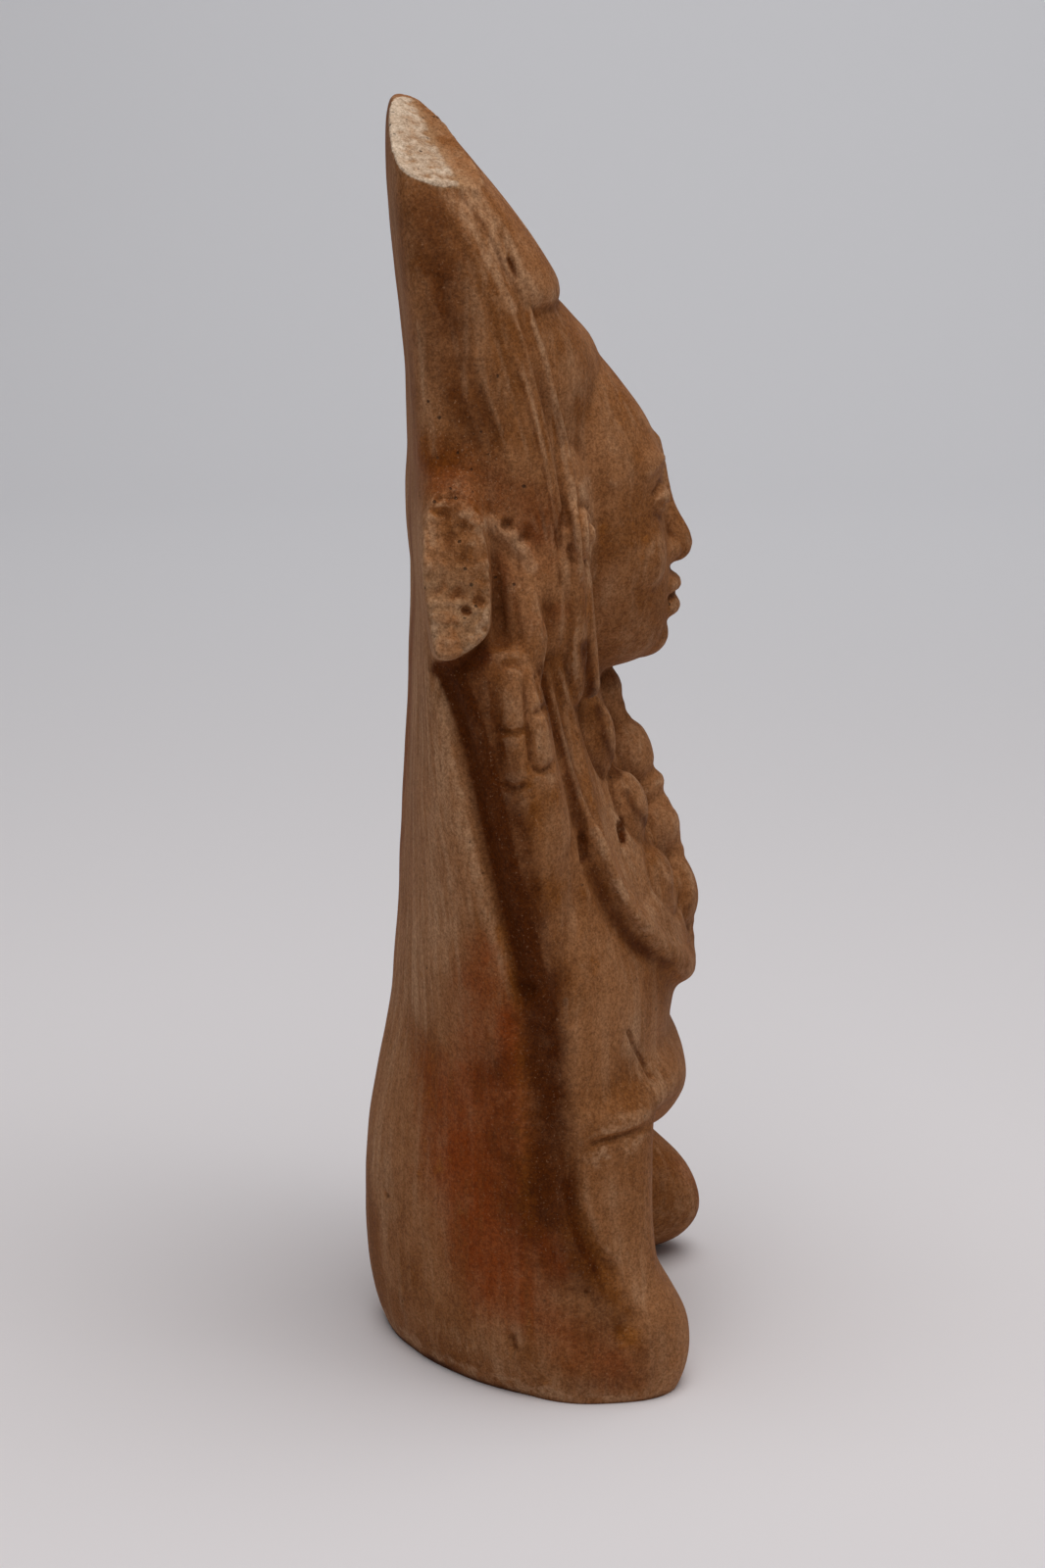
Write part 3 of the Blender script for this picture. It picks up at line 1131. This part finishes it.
rattleMesh = makeRattle()
paint(rattleMesh)
print("stains painted")
points = np.empty(len(rattleMesh.vertices) * 3)
rattleMesh.vertices.foreach_get("co", points)
points = points.reshape(-1, 3)
middle = (points.min(0) + points.max(0)) / 2 * mm
cadMiddle = (np.array(cadBox[0]) + np.array(cadBox[1])) / 2
shift = Vector((cadMiddle[0] - middle[0], cadMiddle[1] - middle[1], 0.0))
rattleMesh.transform(Matrix.Translation(shift) @ Matrix.Scale(mm, 4))
rattleMesh.name = "rattleBody"
rattleMesh.shade_smooth()
rattle = bpy.data.objects.new("rattleBody", rattleMesh)
bpy.context.scene.collection.objects.link(rattle)
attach(rattle, "root")
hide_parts("figure_rattle")
print("shift in mm:", [round(value * 1000, 2) for value in shift])


class Wire:
    # a socket in a material, so that shader maths reads as plain sums

    def __init__(self, tree, socket=None):
        self.tree = tree
        self.socket = socket

    def node(self, kind, settings=None, sockets=None, out=0):
        made = self.tree.nodes.new("ShaderNode" + kind)
        for name, value in (settings or {}).items():
            setattr(made, name, value)
        for name, value in (sockets or {}).items():
            if isinstance(value, Wire):
                self.tree.links.new(value.socket, made.inputs[name])
            else:
                made.inputs[name].default_value = value
        return Wire(self.tree, made.outputs[out])

    def sum(self, operation, first, second):
        return self.node("Math", {"operation": operation}, {0: first, 1: second})

    def __add__(self, other):
        return self.sum("ADD", self, other)

    def __radd__(self, other):
        return self.sum("ADD", other, self)

    def __sub__(self, other):
        return self.sum("SUBTRACT", self, other)

    def __rsub__(self, other):
        return self.sum("SUBTRACT", other, self)

    def __mul__(self, other):
        return self.sum("MULTIPLY", self, other)

    def __rmul__(self, other):
        return self.sum("MULTIPLY", other, self)


def hue(red, green, blue):
    # a colour picked by eye, 0 to 255, as Blender's linear one
    return tuple((value / 255) ** 2.2 for value in (red, green, blue)) + (1.0,)


tones = {
    "body": hue(152, 103, 67),
    "brown": hue(126, 78, 42),
    "dirt": hue(80, 39, 6),
    "dust": hue(178, 136, 102),
    "flush": hue(130, 58, 14),
    "ochre": hue(160, 96, 34),
    "broken": hue(200, 177, 154),
    "brokenDark": hue(152, 114, 82),
    "soot": hue(50, 40, 32),
}


def makeTerracotta():
    material = bpy.data.materials.new("terracotta")
    material.use_nodes = True
    tree = material.node_tree
    shader = tree.nodes["Principled BSDF"]
    wire = Wire(tree)
    place = wire.node("TexCoord", out="Object")

    def stretched(across, along):
        return wire.node("Mapping", {}, {"Vector": place, "Scale": (across, across, along)})

    def cloud(scale, detail=4.0, roughness=0.6, where=place):
        sockets = {"Vector": where, "Scale": scale, "Detail": detail, "Roughness": roughness}
        return wire.node("TexNoise", {}, sockets)

    def between(value, start, full):
        sockets = {"Value": value, "From Min": start, "From Max": full}
        return wire.node("MapRange", {"interpolation_type": "SMOOTHSTEP"}, sockets)

    def layer(name):
        return wire.node("Attribute", {"attribute_name": name}, out="Fac")

    def mixed(first, second, factor, blend="MIX"):
        settings = {"data_type": "RGBA", "blend_type": blend}
        return wire.node("Mix", settings, {0: factor, 6: first, 7: second}, out=2)

    broad = cloud(28.0, 3.0)
    patchy = cloud(85.0, 5.0, 0.65)
    mottle = cloud(260.0, 4.0, 0.7)
    grain = cloud(2600.0, 2.0, 0.75)
    streaks = cloud(330.0, 3.0, 0.6, stretched(1.0, 0.07))
    scuffs = cloud(700.0, 3.0, 0.6, stretched(1.0, 0.16))
    hollow, deepHollow = layer("hollow"), layer("deepHollow")
    broken, worn = layer("broken"), layer("worn")

    # each stain's edge is broken up by the clouds, as it is on fired clay
    def stain(name, ragged=1.0, full=0.8):
        return between(layer(name) + ragged * (patchy * 0.7 + mottle * 0.5 - 0.6), 0.1, full)

    colour = mixed(tones["body"], tones["brown"], between(broad * 0.6 + patchy * 0.6, 0.5, 0.72))
    flushed = stain("flush", 1.5, 1.2)
    colour = mixed(colour, tones["flush"], flushed * 0.95)
    colour = mixed(colour, tones["brown"], between(1.0 - streaks, 0.5, 0.68) * 0.35)
    colour = mixed(colour, tones["brown"], between(mottle, 0.52, 0.66) * 0.3)
    pale = between(streaks, 0.5, 0.7) * (0.25 + 0.5 * stain("dust")) * (1.0 - 0.7 * flushed)
    colour = mixed(colour, tones["dust"], pale)
    colour = mixed(colour, tones["dust"], stain("dust", 1.2) * (0.25 + 0.5 * between(scuffs, 0.4, 0.65)))
    colour = mixed(colour, tones["ochre"], stain("ochre", 1.6) * 0.75)
    colour = mixed(colour, tones["ochre"], between(mottle + patchy, 1.16, 1.36) * 0.35)
    colour = mixed(colour, tones["dirt"], stain("dirt", 1.0, 0.95) * (0.82 + 0.3 * mottle))
    colour = mixed(colour, tones["dirt"], between(hollow * 0.6 + deepHollow * 0.5, 0.6, 0.95) * 0.6)
    ridge = between(1.0 - hollow, 0.56, 0.9) * (1.0 - layer("dirt"))
    colour = mixed(colour, tones["dust"], ridge * (0.1 + 0.6 * between(mottle, 0.42, 0.6)))
    old = between(mottle * 0.5 + hollow * 0.8, 0.56, 0.9) + between(1.0 - broken, 0.2, 0.5)
    old = old + 0.35 * between(patchy, 0.5, 0.62)
    fresh = mixed(tones["broken"], tones["brokenDark"], old)
    colour = mixed(colour, fresh, between(broken + 0.5 * (mottle - 0.5), 0.35, 0.7))
    pores = wire.node("TexVoronoi", {}, {"Vector": place, "Scale": 420.0}, out="Distance")
    poreShare = between(1.0 - pores, 0.84, 0.92) * between(mottle + 0.5 * worn + 0.25 * broken, 0.56, 0.66)
    colour = mixed(colour, tones["soot"], poreShare * 0.75)
    sootShare = between(cloud(190.0, 6.0, 0.8), 0.66, 0.74)
    colour = mixed(colour, tones["soot"], sootShare * 0.55)
    flecks = between(cloud(2100.0, 2.0, 0.8), 0.6, 0.72)
    colour = mixed(colour, tones["dust"], flecks * (0.3 + 0.4 * worn))
    speckle = between(grain * 0.6 + cloud(1150.0, 2.0, 0.7) * 0.4, 0.34, 0.66)
    shade = wire.node("CombineColor", {}, {
        "Red": 0.6 + speckle * 0.8, "Green": 0.56 + speckle * 0.88, "Blue": 0.52 + speckle * 0.96
    })
    colour = mixed(colour, shade, 0.8, "MULTIPLY")
    tree.links.new(colour.socket, shader.inputs["Base Color"])

    rough = 0.66 + 0.2 * mottle + 0.2 * broken + 0.12 * stain("dust") - 0.08 * stain("dirt")
    tree.links.new(rough.socket, shader.inputs["Roughness"])
    shader.inputs["Specular IOR Level"].default_value = 0.08

    height = grain * (0.5 + 0.9 * broken + 0.7 * worn) + mottle * (0.8 + 1.2 * broken + 1.4 * worn)
    height = height + 0.5 * scuffs + 0.5 * streaks - 2.2 * poreShare
    bump = wire.node("Bump", {}, {"Height": height, "Strength": 0.5, "Distance": 0.00035})
    tree.links.new(bump.socket, shader.inputs["Normal"])
    return material


rattleMesh.materials.append(makeTerracotta())
print("terracotta mixed")

# The stage: one seamless sheet that sweeps up behind the figure.
stage = {
    "near": -2.5,
    "far": 1.7,
    "halfWidth": 2.5,
    "height": 1.4,
    "bend": 0.6,
    "bendSteps": 24,
    "paper": hue(234, 230, 232),
    "roughness": 0.85,
}


def makeStage():
    sheet = bmesh.new()
    profile = [(stage["near"], 0.0)]
    for i in range(stage["bendSteps"] + 1):
        turn = math.pi / 2 * i / stage["bendSteps"]
        out = stage["far"] - stage["bend"] + stage["bend"] * math.sin(turn)
        profile.append((out, stage["bend"] * (1 - math.cos(turn))))
    profile.append((stage["far"], stage["height"]))
    verts = [sheet.verts.new((x, -stage["halfWidth"], z)) for x, z in profile]
    edges = [sheet.edges.new(pair) for pair in zip(verts, verts[1:])]
    moved = bmesh.ops.extrude_edge_only(sheet, edges=edges)["geom"]
    ends = [item for item in moved if isinstance(item, bmesh.types.BMVert)]
    bmesh.ops.translate(sheet, vec=(0.0, 2 * stage["halfWidth"], 0.0), verts=ends)
    bmesh.ops.recalc_face_normals(sheet, faces=sheet.faces)
    obj = objectOf(sheet, "backdrop")
    obj.data.shade_smooth()
    paper = bpy.data.materials.new("paper")
    paper.use_nodes = True
    look = paper.node_tree.nodes["Principled BSDF"]
    look.inputs["Base Color"].default_value = stage["paper"]
    look.inputs["Roughness"].default_value = stage["roughness"]
    obj.data.materials.append(paper)


makeStage()

# A soft light over the figure and a long one on the sheet behind it. Each has its place, what it
# faces, its two sizes, its power and its colour.
lights = {
    "topSoftbox": ((-0.16, -0.06, 0.85), (0.0, 0.0, 0.05), (0.9, 0.9), 6.3, (1.0, 0.985, 0.97)),
    "backSoftbox": ((0.85, -0.3, 1.0), (1.65, -0.25, 0.3), (1.4, 0.4), 4.8, (0.92, 0.98, 1.0)),
}
room = {"colour": (0.94, 0.96, 1.0, 1.0), "strength": 0.16}


def areaLight(name, place, target, size, power, colour):
    data = bpy.data.lights.new(name, "AREA")
    data.shape = "RECTANGLE"
    data.size, data.size_y = size
    data.energy = power
    data.color = colour
    lamp = bpy.data.objects.new(name, data)
    lamp.location = place
    lamp.rotation_euler = (Vector(target) - Vector(place)).to_track_quat("-Z", "Y").to_euler()
    bpy.context.scene.collection.objects.link(lamp)


for name, values in lights.items():
    areaLight(name, *values)
world = bpy.data.worlds.new("room")
world.use_nodes = True
background = world.node_tree.nodes["Background"]
background.inputs["Color"].default_value = room["colour"]
background.inputs["Strength"].default_value = room["strength"]
bpy.context.scene.world = world
bpy.context.scene.view_settings.view_transform = "Standard"

# Where the camera stands from the figure's middle, the way it looks on the level, and its tilt.
camera = {
    "place": (-0.59888, 0.03663, 0.217),
    "level": (0.99813, -0.06105),
    "down": 11.7,
    "lens": 84.375,
    "sensor": 36.0,
}


def makeCamera():
    data = bpy.data.cameras.new("camera")
    data.lens = camera["lens"]
    data.sensor_width = camera["sensor"]
    cam = bpy.data.objects.new("camera", data)
    down = math.radians(camera["down"])
    x, y = camera["level"]
    ahead = Vector((x * math.cos(down), y * math.cos(down), -math.sin(down)))
    cam.location = Vector(camera["place"]) + shift
    cam.rotation_euler = ahead.to_track_quat("-Z", "Y").to_euler()
    bpy.context.scene.collection.objects.link(cam)
    bpy.context.scene.camera = cam


makeCamera()
bpy.context.view_layer.update()
